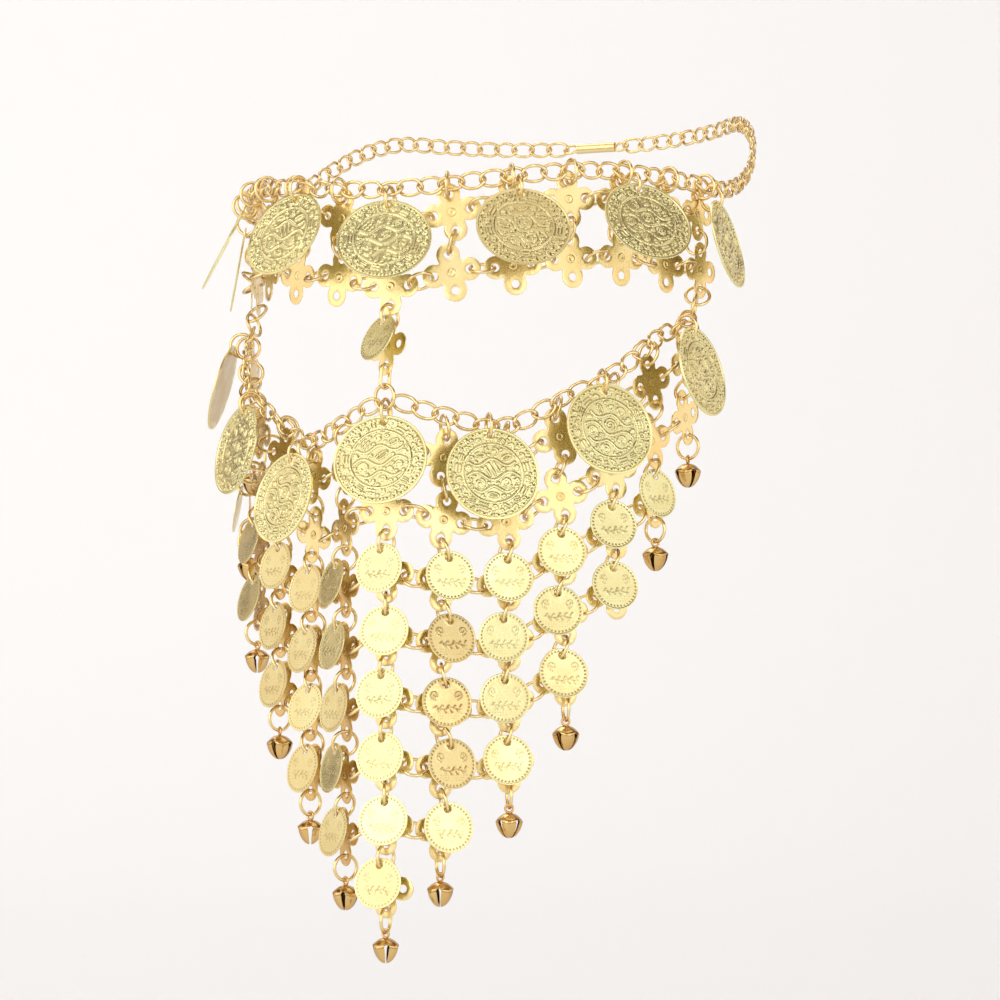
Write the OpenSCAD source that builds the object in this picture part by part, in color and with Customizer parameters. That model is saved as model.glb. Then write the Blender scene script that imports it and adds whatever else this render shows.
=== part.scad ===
// Coin veil: a gilt face veil of coins, cross plates, jump rings and bells, worn on a head.
// The face looks along -Y, the wearer's left is +X, and the origin is the middle of the head
// loop, at the height of the chain over the nose. Columns are numbered from -6 to 6, and 0 is
// the middle one. All lengths are in millimetres and all angles in degrees.

/* [Head loop] */
// Width of the loop that goes round the head
loop_w = 160; // [154:1:168]
// Radius of the loop along the side of the head
loop_side_r = 115; // [110:1:120]
// Turn of the loop from the middle of the brow to the temple
brow_turn = 50; // [47:1:53]
// Turn of the loop along the side of the head
side_turn = 75; // [72:1:78]
// Rise of the head chain from the nose to the temples
temple_rise = 7; // [0:0.5:9]
// Further rise of the head chain to the back of the head
back_rise = 36; // [20:1:45]

/* [Chain] */
// Outer length of a chain link
link_l = 8.55; // [8.4:0.05:8.6]
// Outer width of a chain link
link_w = 5.6; // [5.4:0.1:5.8]
// Thickness of the wire of the chain and the jump rings
wire = 1; // [0.9:0.05:1]
// Roll of a link about the chain, to either side in turn
link_roll = 45; // [42:1:45]
// Step from one link of the lower chain to the next
link_step = 6.25; // [6.2:0.05:6.3]

// Rise of the lower chain on the wearer's left cheek, and fall on the right one
cheek_rise = 1.8; // [0:0.1:2]

/* [Jump rings] */
// Outer diameter of a jump ring
ring_d = 8.4; // [8.3:0.05:8.5]

/* [Cross plates] */
// Width and height of a cross plate
cross_w = 17.6; // [17.2:0.1:17.8]
// Diameter of the round end of a lobe
lobe_d = 7; // [6.6:0.1:7.2]
// Distance from the middle of a cross plate to each of its holes
hole_at = 5.45; // [5.3:0.05:5.6]
// Width of the arm behind a lobe
arm_w = 6.4; // [6:0.1:6.6]
// Diameter of every punched hole
hole_d = 2.4; // [2.3:0.05:2.5]
// Thickness of the plates and the small coins
sheet = 0.5; // [0.4:0.05:0.6]

/* [Coins] */
// Diameter of a large coin
large_d = 28; // [26:0.5:29]
// Diameter of a small coin
small_d = 15; // [14:0.5:15.5]
// Thickness of a large coin
large_t = 0.7; // [0.5:0.1:0.8]
// Distance from a coin's edge to the middle of its hole
hole_edge = 2.1; // [2:0.1:2.4]

/* [Bells] */
// Diameter of a jingle bell
bell_d = 7.6; // [7:0.1:8]
// Thickness of a bell's shell
bell_t = 0.45; // [0.4:0.05:0.6]

/* [Hidden] */
$fn = 48;
ring_r = (ring_d - wire) / 2;
lobe_at = cross_w / 2 - lobe_d / 2;
play = 0.06;
clear = 0.24;
strand = (link_w - wire) / 2;
links_per_column = 3;

// Head loop: three arcs on each side of the middle, then the mirror of them.
loop_front_r = loop_side_r - (loop_side_r - loop_w / 2) / sin(brow_turn);
loop_back_r = loop_side_r - (loop_side_r - loop_w / 2) / sin(brow_turn + side_turn);
brow_len = loop_front_r * brow_turn * PI / 180;
side_len = loop_side_r * side_turn * PI / 180;
back_turn = 180 - brow_turn - side_turn;
back_len = loop_back_r * back_turn * PI / 180;
loop_half = brow_len + side_len + back_len;
loop_depth = loop_front_r * (1 - cos(brow_turn))
    + loop_side_r * (cos(brow_turn) - cos(brow_turn + side_turn))
    + loop_back_r * (cos(brow_turn + side_turn) + 1);
head_step = 6.23;
last_head_link = 44;
temple_at = 75;
rise_from = 118;
rise_to = 215;

// The band's columns: drop from the chain to the upper cross, step to the lower cross,
// tilt of both, and how far the upper cross lies behind the chain.
BAND_DROP = 0;
BAND_STEP = 1;
BAND_CANT = 2;
BAND_BEHIND = 3;
BAND = [
    [11.6, 17.4, 0, 1.9],
    [8.3, 18.1, 12, 2.6],
    [8.2, 18.4, 8, 2.6],
    [8.2, 18.0, 6, 2.6],
    [8.2, 17.4, 2, 2.6],
    [8.2, 18.0, 0, 2.6],
    [8.2, 18.0, 0, 2.6],
];
lower_out = 1.2;

// The veil's columns: which way the column faces, height of the lower chain, drop to the
// first cross, step from cross to cross, tilt of the crosses, the number of crosses, how
// far they lie behind the chain, and how far their hanging ring leans outwards.
VEIL_FACES = 0;
VEIL_HEIGHT = 1;
VEIL_DROP = 2;
VEIL_STEP = 3;
VEIL_CANT = 4;
VEIL_ROWS = 5;
VEIL_BEHIND = 6;
VEIL_RING = 7;
VEIL = [
    [0, -62.3, 15.1, 18.4, 0, 8, 1.5, 10],
    [39, -68.8, 12.2, 18.3, -10, 7, 1.4, -10],
    [30, -72.0, 10.3, 17.9, 11.6, 6, 1.9, 48.5],
    [33, -64.0, 11.0, 17.9, 16.4, 5, 2.35, -22],
    [44.5, -55.5, 11.35, 17.9, 17.1, 4, 2.6, 44.7],
    [66.5, -43.9, 12.8, 17.8, 19, 3, 1.6, -5],
    [77, -35.3, 12.5, 17.7, 21, 2, 0.9, 25],
];
nose_y = -101.8;

// The large coins: column, links along the chain from it, lean of the foot outwards, turn,
// how far up its ring the coin has swung, and how far out the ring leans.
COIN_COLUMN = 0;
COIN_LINKS = 1;
COIN_LEAN = 2;
COIN_TURN = 3;
COIN_SWING = 4;
COIN_RING = 5;
BAND_COINS = [
    [-6, 0, 10, 12, 20, 12],
    [-4, 0, 27, -3, 25, 12],
    [-2, 1, 24, 6, 25, 33],
    [0, 0, 28, 14, 50, 32],
    [2, 0, 30, -4, 50, 12],
    [4, 0, 30, -12, 62, 12],
    [6, 0, 14, 14, 40, 12],
];
VEIL_COINS = [
    [-6, 0, 16, 3, 56, 42],
    [-4, 1, 12, 0, 42, 33],
    [-2, 0, 14, 0, 54, 32],
    [0, 0, 20, 8, 28, 60],
    [2, -1, 14, 0, 42, 33],
    [4, -1, 14, 4, 42, 33],
    [6, -1, 13, 6, 54, 33],
];
no_bell = 4;
first_coin_row = 3;
coin_shift = 1.25;
cross_shift = 0.5;
thread = 0.14;

// Frames: [origin, right, out, up], where out is away from the face.
function unit(v) = v / norm(v);
function level_frame(p, heading) =
    [p, [cos(heading), sin(heading), 0], [sin(heading), -cos(heading), 0], [0, 0, 1]];
function at(f, right, out, up) = f[0] + right * f[1] + out * f[2] + up * f[3];
function moved(f, right, out, up) = [at(f, right, out, up), f[1], f[2], f[3]];
// The foot swings outwards.
function leaned(f, a) =
    [f[0], f[1], cos(a) * f[2] + sin(a) * f[3], cos(a) * f[3] - sin(a) * f[2]];
// The right side rises.
function canted(f, a) =
    [f[0], cos(a) * f[1] + sin(a) * f[3], f[2], cos(a) * f[3] - sin(a) * f[1]];
// The face swings towards the wearer's left.
function turned(f, a) =
    [f[0], cos(a) * f[1] - sin(a) * f[2], cos(a) * f[2] + sin(a) * f[1], f[3]];
// A frame whose up and out are given, with out squared to up.
function squared_frame(p, up, out) =
    let (o = unit(out - (out * up) * up))
    [p, cross(up, o), o, up];
// A small steady variation from piece to piece, from -1 to 1.
function sway(a, b) = sin(137 * a + 71 * b + 23);

last = 6;

// Points on the head chain, s along it from the middle of the brow.
function smooth(t) = let (c = min(max(t, 0), 1)) c * c * (3 - 2 * c);
function loop_heading(s) =
    s < brow_len ? s / loop_front_r * 180 / PI
    : s < brow_len + side_len ? brow_turn + (s - brow_len) / loop_side_r * 180 / PI
    : brow_turn + side_turn + (s - brow_len - side_len) / loop_back_r * 180 / PI;
function arc_step(r, from, to) = r * [sin(to) - sin(from), cos(from) - cos(to)];
function loop_xy(s) =
    let (h = loop_heading(s), temple = brow_turn + side_turn)
    [0, -loop_depth / 2]
    + arc_step(loop_front_r, 0, min(h, brow_turn))
    + (h > brow_turn ? arc_step(loop_side_r, brow_turn, min(h, temple)) : [0, 0])
    + (h > temple ? arc_step(loop_back_r, temple, h) : [0, 0]);
function loop_height(s) =
    temple_rise * smooth(s / temple_at)
    + back_rise * smooth((s - rise_from) / (rise_to - rise_from));
// Distances along the plan of the loop at every half step of the chain itself.
function run_of(s, step) = step / sqrt(1 + pow((loop_height(s + step) - loop_height(s)) / step, 2));
HALF_STEPS = [for (i = 0, s = 0; i <= 2 * last_head_link + 2; s = s + run_of(s, head_step / 2), i = i + 1) s];
function link_s(i) = side(i) * HALF_STEPS[round(2 * abs(i))];
function side(v) = v < 0 ? -1 : 1;
function head_point(s) =
    let (q = loop_xy(abs(s)))
    [side(s) * q[0], q[1], loop_height(abs(s))];
function head_level(s) = level_frame(head_point(s), side(s) * loop_heading(abs(s)));
function along_frame(level, before, after) =
    let (d = unit(after - before), o = unit(level[2] - (level[2] * d) * d))
    [level[0], d, o, cross(o, d)];
function head_link_frame(i) =
    along_frame(head_level(link_s(i)), head_point(link_s(i - 0.5)), head_point(link_s(i + 0.5)));
// An even link has its lower strand outwards, and an odd one inwards.
function strand_side(i) = i % 2 == 0 ? 1 : -1;
function rolled(f, i) = leaned(f, strand_side(i) * link_roll);
// The point where the ring's plane, given by a point and its normal, cuts a link's strand.
function strand_point(link, i, p, n, s) =
    let (q = at(link, 0, s * strand_side(i) * strand * sin(link_roll),
        -s * strand * cos(link_roll)))
    q + link[1] * (((p - q) * n) / (link[1] * n));

// Cross plates of the band; row 0 is the upper one.
function shares_link(coins, k) =
    len([for (c = coins) if (c[COIN_COLUMN] == k && c[COIN_LINKS] == 0) 1]) > 0;
function band_level(k) = head_level(link_s(k * links_per_column));
function band_shift(k) = shares_link(BAND_COINS, k) ? -side(k) * cross_shift : 0;
// A plate hung by its top hole, its middle at the given place when it hangs straight.
function hung(level, behind, drop, cant, lean) =
    let (f = canted(moved(level, 0, -behind, -drop), cant), g = leaned(f, lean))
    [f[0] + hole_at * (f[3] - g[3]), g[1], g[2], g[3]];
function band_cross(k, row) =
    let (b = BAND[abs(k)])
    hung(band_level(k), b[BAND_BEHIND] - row * lower_out, b[BAND_DROP] + row * b[BAND_STEP],
        side(k) * b[BAND_CANT], (1 + row) * sway(k, row));

function top_hole(f) = at(f, 0, 0, hole_at);
function bottom_hole(f) = at(f, 0, 0, -hole_at);
function left_hole(f) = at(f, -hole_at, 0, 0);
function right_hole(f) = at(f, hole_at, 0, 0);

// A jump ring through two holes, in the plane of them and out; bulge is the side that it
// stands to where the holes are closer than its diameter.
function ring_through(a, b, out, bulge) =
    let (f = squared_frame((a + b) / 2, unit(a - b), out), half = norm(a - b) / 2)
    moved(f, 0, half < ring_r ? bulge * sqrt(ring_r * ring_r - half * half) : 0, 0);
function ring_roll(f, g, a) = cos(a) * unit(f[2] + g[2]) + sin(a) * unit(f[3] + g[3]);
// A ring lying between two neighbouring plates, rolled so that it lies clear of the coins.
function side_ring(left, right, a) =
    ring_through(right_hole(left), left_hole(right), ring_roll(left, right, a), 1);
function side_roll(k, row) =
    row >= first_coin_row ? -35 - 3 * sway(row, k)
    : (sway(k, row) > 0 ? 1 : -1) * (27 + 3 * sway(row, k));

// The lower chain and the veil's columns.
function veil_height(k) = VEIL[abs(k)][VEIL_HEIGHT] + cheek_rise * sin(180 * k / last);
// Distance of a column from the middle, and its place along Y.
function veil_xy(k) =
    k == 0 ? [0, nose_y]
    : let (inner = k - side(k),
        rise = veil_height(k) - veil_height(inner),
        whole = links_per_column * link_step,
        run = sqrt(whole * whole - rise * rise),
        heading = (VEIL[abs(k)][VEIL_FACES] + VEIL[abs(inner)][VEIL_FACES]) / 2)
    veil_xy(inner) + run * [cos(heading), sin(heading)];
function veil_top(k) = let (q = veil_xy(k)) [side(k) * q[0], q[1], veil_height(k)];
function temple_hole(s) = bottom_hole(band_cross(s * last, 1));
function chain_knot(k) =
    abs(k) <= last ? veil_top(k)
    : veil_top(side(k) * last)
        + links_per_column * link_step * unit(temple_hole(side(k)) - veil_top(side(k) * last));
function between(p, q, r, s, t) =
    q + t * (r - p) / 2 + t * t * (p - 2.5 * q + 2 * r - s / 2)
    + t * t * t * (1.5 * q - 1.5 * r + (s - p) / 2);
function side_point(s, t) =
    let (k = min(floor(t), last), q = chain_knot(s * k), r = chain_knot(s * (k + 1)))
    between(k == 0 ? 2 * q - r : chain_knot(s * (k - 1)), q, r,
        chain_knot(s * min(k + 2, last + 1)), t - k);
function chain_point(i) = side_point(side(i), abs(i) / links_per_column);
function veil_faces(k) = side(k) * VEIL[min(abs(k), last)][VEIL_FACES];
function chain_faces(i) =
    let (t = i / links_per_column, k = floor(t))
    veil_faces(k) + (t - k) * (veil_faces(k + 1) - veil_faces(k));
function chain_level(i) = level_frame(chain_point(i), chain_faces(i));
function veil_link_frame(i) =
    along_frame(chain_level(i), chain_point(i - 0.5), chain_point(i + 0.5));
function veil_level(k) = level_frame(veil_top(k), veil_faces(k));
function veil_shift(k) = shares_link(VEIL_COINS, k) ? -side(k) * cross_shift : 0;
function veil_rows(k) = VEIL[abs(k)][VEIL_ROWS];
function veil_cross(k, row) =
    let (v = VEIL[abs(k)])
    hung(veil_level(k), v[VEIL_BEHIND], v[VEIL_DROP] + (row - 1) * v[VEIL_STEP],
        side(k) * v[VEIL_CANT], sway(k, row));

// The ring that joins the two halves of the lower chain over the nose, and points of its wire
// at an angle from straight down.
nose_loop_turn = -20;
nose_loop = turned(veil_level(0), 90 + nose_loop_turn);
function nose_wire(a) = at(nose_loop, 0, -ring_r * sin(a), -ring_r * cos(a));

// Rings that hang a column from its chain.
// A ring through a hole, its middle towards p but leaning outwards by a.
function ring_from(hole, p, out, a) =
    let (f = squared_frame(hole, unit(p - hole), out))
    moved(f, 0, (ring_r - thread) * sin(a), (ring_r - thread) * cos(a));
function band_hang_ring(k) =
    let (level = band_level(k), hole = top_hole(band_cross(k, 0)))
    k == 0 ? ring_from(hole, at(level, band_shift(k), -BAND[0][BAND_BEHIND], 0), level[2], 25)
    : ring_from(hole, hole + level[3], level[2], asin(BAND[abs(k)][BAND_BEHIND] / (ring_r - thread)));
function veil_hang_ring(k) =
    let (level = veil_level(k), v = VEIL[abs(k)], hook = at(level, veil_shift(k), -v[VEIL_BEHIND], 0))
    ring_from(top_hole(veil_cross(k, 1)), hook, level[2], v[VEIL_RING]);
function band_drop_ring(k) =
    ring_through(bottom_hole(band_cross(k, 0)), top_hole(band_cross(k, 1)),
        band_level(k)[2], -1);
function veil_drop_ring(k, row) =
    ring_through(bottom_hole(veil_cross(k, row)), top_hole(veil_cross(k, row + 1)),
        turned(veil_level(k), 18 * sway(row, k))[2], 1);

// Large coins: each hangs from its own ring, outwards of what is behind it. On an even link
// the ring hangs from the lower strand, and on an odd one it lies over the upper strand and
// rests against the lower one.
nose_coin_at = -26;
// The point of a ring at an angle from its foot, where a coin's hole hangs.
function ring_foot(ring, a) = at(ring, 0, (ring_r - thread / 2) * sin(a), -(ring_r - thread / 2) * cos(a));
function coin_link(c) = links_per_column * c[COIN_COLUMN] + c[COIN_LINKS];
function coin_level(c, veil) =
    let (i = coin_link(c))
    veil ? chain_level(i) : head_level(link_s(i));
function coin_hook(c, veil) =
    let (i = coin_link(c), link = veil ? veil_link_frame(i) : head_link_frame(i),
        level = coin_level(c, veil),
        p = at(link, c[COIN_LINKS] == 0 ? side(c[COIN_COLUMN]) * coin_shift : 0, 0, 0))
    veil && i == 0 ? nose_wire(nose_coin_at)
    : strand_point(link, i, p, level[1], i % 2 == 0 ? 1 : -1);
function coin_ring(c, veil) =
    let (level = coin_level(c, veil), a = c[COIN_RING])
    moved([coin_hook(c, veil), level[1], level[2], level[3]], 0,
        (ring_r - wire - clear) * sin(a), -(ring_r - wire - clear) * cos(a));
function large_coin_frame(c, veil) =
    let (ring = coin_ring(c, veil), a = c[COIN_SWING],
        hole = ring_foot(ring, a))
    moved(leaned(turned([hole, ring[1], ring[2], ring[3]], c[COIN_TURN]), c[COIN_LEAN]),
        0, 0, hole_edge - large_d / 2);

// Small coins: each hangs from the ring above its cross, in front of the cross.
small_from_foot = 52;
function small_coin_frame(k, row) =
    let (ring = veil_drop_ring(k, row - 1), level = veil_level(k),
        hole = ring_foot(ring, small_from_foot))
    moved(leaned(turned([hole, level[1], level[2], level[3]], 4 * sway(row, k + 3)),
        13 + 2 * sway(k, row + 5)), 0, 0, hole_edge - small_d / 2);

// The nose drop: a line from the band's middle cross down to the ring in the lower chain.
nose_head = bottom_hole(band_cross(0, 1));
nose_foot = at(veil_level(0), 0, 0, ring_r);
nose_line = squared_frame(nose_head, unit(nose_head - nose_foot), [0, -1, 0]);
nose_ring_turn = -20;
nose_cross_turn = -30;
nose_coin_turn = -32;
nose_coin_lean = 15;
nose_link_turn = 60;
nose_upper_ring = turned(moved(nose_line, 0, 0, -play - ring_r), nose_ring_turn);
nose_cross_frame =
    turned(moved(nose_line, 0, 0, -2 * play - 2 * ring_r - hole_at), nose_cross_turn);
nose_coin_hole = ring_foot(nose_upper_ring, small_from_foot);
nose_coin_frame = moved(leaned(turned([nose_coin_hole, nose_line[1], nose_line[2],
    nose_line[3]], nose_coin_turn), nose_coin_lean), 0, 0, hole_edge - small_d / 2);
nose_link_top = bottom_hole(nose_cross_frame) - play * nose_line[3];
nose_link_foot = nose_foot - (wire + 0.1) * nose_line[3];
nose_link_w = 4.2;
nose_link_l = round(20 * (norm(nose_link_top - nose_link_foot) + wire)) / 20;

// Two linked rings on each side carry the end of the lower chain.
function chain_end(s) = at(veil_link_frame(s * last * links_per_column), s * (link_l - wire) / 2, 0, 0);
function temple_line(s) =
    squared_frame(temple_hole(s), unit(temple_hole(s) - chain_end(s)), band_level(s * last)[2]);
temple_turn = 27;
function temple_ring(s, n) =
    let (line = temple_line(s), reach = norm(temple_hole(s) - chain_end(s)))
    turned(moved(line, 0, 0, n == 0 ? thread - ring_r : ring_r - wire - 2 * play - reach), n * 90 + s * temple_turn);

// Bells.
loop_r = 1.15;
loop_wire = 0.7;
function bell_ring(k) =
    let (level = veil_level(k))
    moved([bottom_hole(veil_cross(k, veil_rows(k))), level[1], level[2], level[3]], 0, 0, -play - ring_r);
function bell_frame(k) =
    turned(moved(bell_ring(k), 0, 0, -ring_r - loop_r + loop_wire / 2 + wire / 2 + 0.1), 20 * sway(k, 9));

// The clasp's eyes hook into the two last links.
eye_r = strand;
clasp_d = 3.4;
clasp_eye = at(head_link_frame(last_head_link), (link_l - wire) / 2 - wire - clear + eye_r, 0, 0);

COLUMNS = [for (k = [-last : last]) k];
BELL_COLUMNS = [for (k = COLUMNS) if (k != no_bell) k];
most_rows = VEIL[0][VEIL_ROWS];
function column_number(k) = k + last + 1;

gilt = [0.93, 0.8, 0.45];
rose_gilt = [0.86, 0.66, 0.33];
old_gilt = [0.72, 0.53, 0.2];

// Moves what is drawn facing -Y into a frame.
module place(f) {
    multmatrix([
        [f[1][0], -f[2][0], f[3][0], f[0][0]],
        [f[1][1], -f[2][1], f[3][1], f[0][1]],
        [f[1][2], -f[2][2], f[3][2], f[0][2]],
    ])
        children();
}

// A ring of wire whose axis is the frame's right.
module jump_ring(r = ring_r, w = wire) {
    color(rose_gilt)
        rotate([0, 90, 0])
            rotate_extrude()
                translate([r, 0])
                    circle(d = w, $fn = 24);
}

// A long link, its length along the frame's right and its flat side facing out.
module link(l, w, thick) {
    half = (l - w) / 2;
    r = (w - thick) / 2;
    color(rose_gilt) {
        for (s = [-1, 1]) {
            translate([0, 0, s * r])
                rotate([0, 90, 0])
                    cylinder(h = 2 * half, d = thick, center = true, $fn = 24);
            translate([s * half, 0, 0])
                rotate([90, s * 90, 0])
                    rotate_extrude(angle = 180)
                        translate([r, 0])
                            circle(d = thick, $fn = 24);
        }
    }
}

module chain_link() {
    link(link_l, link_w, wire);
}

// A cross plate with a hole in each lobe.
module cross_plate() {
    color(gilt)
        rotate([90, 0, 0])
            linear_extrude(sheet, center = true)
                difference() {
                    union() {
                        square([2 * lobe_at, arm_w], center = true);
                        square([arm_w, 2 * lobe_at], center = true);
                        for (a = [0 : 90 : 270])
                            rotate(a)
                                translate([lobe_at, 0])
                                    circle(d = lobe_d);
                    }
                    for (a = [0 : 90 : 270])
                        rotate(a)
                            translate([hole_at, 0])
                                circle(d = hole_d);
                }
}

// A coin with its hole at the top.
module coin(d, thick) {
    color(gilt)
        rotate([90, 0, 0])
            difference() {
                cylinder(h = thick, d = d, center = true, $fn = 96);
                translate([0, d / 2 - hole_edge, 0])
                    cylinder(h = 3 * thick, d = hole_d, center = true);
            }
}

// A hollow jingle bell below its loop, with two slots crossing underneath.
module bell() {
    slot_w = 0.9;
    middle = -loop_r - bell_d / 2 + 0.1;
    color(old_gilt) {
        rotate([90, 0, 0])
            rotate_extrude()
                translate([loop_r, 0])
                    circle(d = loop_wire, $fn = 24);
        difference() {
            translate([0, 0, middle])
                sphere(d = bell_d);
            translate([0, 0, middle])
                sphere(d = bell_d - 2 * bell_t);
            for (a = [0, 90])
                translate([0, 0, middle - bell_d / 2])
                    rotate(a)
                        cube([bell_d * 0.8, slot_w, bell_d], center = true);
        }
    }
}

// A plain clasp with an eye at each end, standing for the hidden fastening.
module clasp() {
    color(rose_gilt) {
        for (s = [-1, 1])
            translate([s * clasp_eye[0], 0, 0])
                rotate([90 + link_roll, 0, 0])
                    rotate_extrude()
                        translate([eye_r, 0])
                            circle(d = wire, $fn = 24);
        rotate([0, 90, 0])
            cylinder(h = 2 * (clasp_eye[0] - eye_r), d = clasp_d, center = true);
    }
}

module head_links_from(first, final) {
    for (i = [first : final])
        place(rolled(head_link_frame(i), i))
            chain_link();
}

module lower_links_from(first, final) {
    for (i = [first : final])
        place(rolled(veil_link_frame(i), i))
            chain_link();
}

module band_crosses(row) {
    for (k = COLUMNS)
        place(band_cross(k, row))
            cross_plate();
}

module band_drop_rings() {
    for (k = COLUMNS) {
        place(band_hang_ring(k))
            jump_ring();
        place(band_drop_ring(k))
            jump_ring();
    }
    place(nose_upper_ring)
        jump_ring();
}

module band_side_rings() {
    for (k = [-last : last - 1], row = [0, 1])
        place(side_ring(band_cross(k, row), band_cross(k + 1, row), side_roll(k, row)))
            jump_ring();
}

module large_coin(c, veil) {
    place(large_coin_frame(c, veil))
        coin(large_d, large_t);
}

module coin_rings() {
    for (c = BAND_COINS)
        place(coin_ring(c, false))
            jump_ring();
    for (c = VEIL_COINS)
        place(coin_ring(c, true))
            jump_ring();
}

module nose_cross() {
    place(nose_cross_frame)
        cross_plate();
}

module nose_coin() {
    place(nose_coin_frame)
        coin(small_d, sheet);
}

module nose_link() {
    middle = (nose_link_top + nose_link_foot) / 2;
    place(turned([middle, nose_line[1], nose_line[2], nose_line[3]], nose_link_turn))
        rotate([0, 90, 0])
            link(nose_link_l, nose_link_w, wire);
}

module nose_ring() {
    place(nose_loop)
        jump_ring();
}

module temple_rings() {
    for (s = [-1, 1], n = [0, 1])
        place(temple_ring(s, n))
            jump_ring();
}

module veil_crosses(row) {
    for (k = COLUMNS)
        if (veil_rows(k) >= row)
            place(veil_cross(k, row))
                cross_plate();
}

module small_coins(row) {
    for (k = COLUMNS)
        if (veil_rows(k) >= row)
            place(small_coin_frame(k, row))
                coin(small_d, sheet);
}

module veil_drop_rings() {
    for (k = COLUMNS) {
        place(veil_hang_ring(k))
            jump_ring();
        for (row = [1 : 1 : veil_rows(k) - 1])
            place(veil_drop_ring(k, row))
                jump_ring();
    }
}

module veil_side_rings() {
    for (k = [-last : last - 1])
        for (row = [1 : min(veil_rows(k), veil_rows(k + 1))])
            place(side_ring(veil_cross(k, row), veil_cross(k + 1, row), side_roll(k, row)))
                jump_ring();
}

module bell_rings() {
    for (k = BELL_COLUMNS)
        place(bell_ring(k))
            jump_ring();
}

module hung_bell(k) {
    place(bell_frame(k))
        bell();
}

front_links = 18;
head_links_from(-front_links, front_links);  // head_chain_front
head_links_from(front_links + 1, last_head_link);  // head_chain_left
head_links_from(-last_head_link, -front_links - 1);  // head_chain_right
place([[0, clasp_eye[1], clasp_eye[2]], [-1, 0, 0], [0, 1, 0], [0, 0, 1]])
        clasp();
band_crosses(0);  // band_crosses_upper
band_crosses(1);  // band_crosses_lower
band_drop_rings();
band_side_rings();
for (n = [1 : len(BAND_COINS)])
    large_coin(BAND_COINS[n - 1], false);
coin_rings();
nose_cross();
nose_coin();
nose_link();
nose_ring();
temple_rings();
lower_links_from(1, last * links_per_column);  // lower_chain_left
lower_links_from(-last * links_per_column, -1);  // lower_chain_right
for (n = [1 : len(VEIL_COINS)])
    large_coin(VEIL_COINS[n - 1], true);
for (row = [1 : most_rows])
    veil_crosses(row);
for (row = [first_coin_row : most_rows])
    small_coins(row);
veil_drop_rings();
veil_side_rings();
bell_rings();
for (k = BELL_COLUMNS)
    hung_bell(k);
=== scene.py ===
"""Looks of the coin veil, built around its CAD frame."""

import math
import random

import bpy
import numpy as np
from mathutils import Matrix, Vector, geometry


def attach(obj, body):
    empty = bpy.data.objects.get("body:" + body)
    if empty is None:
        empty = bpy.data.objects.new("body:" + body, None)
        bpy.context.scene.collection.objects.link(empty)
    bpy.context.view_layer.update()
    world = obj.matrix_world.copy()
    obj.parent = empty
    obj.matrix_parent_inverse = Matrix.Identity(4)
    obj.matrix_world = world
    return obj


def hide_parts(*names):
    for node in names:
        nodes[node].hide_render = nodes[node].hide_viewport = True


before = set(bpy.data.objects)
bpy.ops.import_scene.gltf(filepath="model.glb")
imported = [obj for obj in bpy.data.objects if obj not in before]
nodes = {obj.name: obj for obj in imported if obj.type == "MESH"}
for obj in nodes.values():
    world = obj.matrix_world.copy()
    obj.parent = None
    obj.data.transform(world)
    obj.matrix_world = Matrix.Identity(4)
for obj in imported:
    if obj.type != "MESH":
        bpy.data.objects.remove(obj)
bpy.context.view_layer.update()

MM = 0.001

# Sizes in millimetres, as in the CAD part
SHEET = 0.5
CROSS_LOBE_AT = 5.3
CROSS_LOBE_R = 3.5
CROSS_ARM = 3.2
CROSS_HOLE_AT = 5.45
HOLE_R = 1.2
HOLE_EDGE = 2.1
LARGE_R = 14.0
LARGE_T = 0.7
SMALL_R = 7.5
SMALL_T = 0.5
BELL_R = 3.8
LOOP_R = 1.15
LOOP_WIRE = 0.7
WIRE_R = 0.5
LINK_REACH = 3.775
LINK_HALF = 2.35


# CAD solids

def loose_parts(node):
    """The separate solids of a CAD node, each as the array of its points in metres."""
    mesh = nodes[node].data
    points = np.empty(len(mesh.vertices) * 3)
    mesh.vertices.foreach_get("co", points)
    points = points.reshape(-1, 3)
    _, welded = np.unique(points, axis=0, return_inverse=True)
    welded = welded.ravel()
    edges = np.empty(len(mesh.edges) * 2, np.int64)
    mesh.edges.foreach_get("vertices", edges)
    a, b = welded[edges.reshape(-1, 2)].T
    group = np.arange(welded.max() + 1)
    while True:
        low = np.minimum(group[a], group[b])
        lower = group.copy()
        np.minimum.at(lower, a, low)
        np.minimum.at(lower, b, low)
        np.minimum.at(lower, group[a], low)
        np.minimum.at(lower, group[b], low)
        lower = lower[lower]
        if (lower == group).all():
            break
        group = lower
    owner = group[welded]
    return [np.unique(points[owner == g], axis=0) for g in np.unique(owner)]


def flat_axes(points):
    """Middle, two axes in the plane and the outward normal of a flat solid."""
    middle = (points.min(0) + points.max(0)) / 2
    spread = np.cov((points - points.mean(0)).T)
    normal = np.linalg.eigh(spread)[1][:, 0]
    outward = np.array([middle[0], middle[1], 0.0])
    if normal @ outward < 0:
        normal = -normal
    across = np.cross([0.0, 0.0, 1.0], normal)
    if np.linalg.norm(across) < 1e-3:
        across = np.array([1.0, 0.0, 0.0])
    across /= np.linalg.norm(across)
    return middle, across, np.cross(normal, across), normal


def placed_frame(middle, right, up, normal):
    """Columns right, up, normal and the origin, as a 3 x 4 array."""
    return np.column_stack([right, up, normal, middle])


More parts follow.
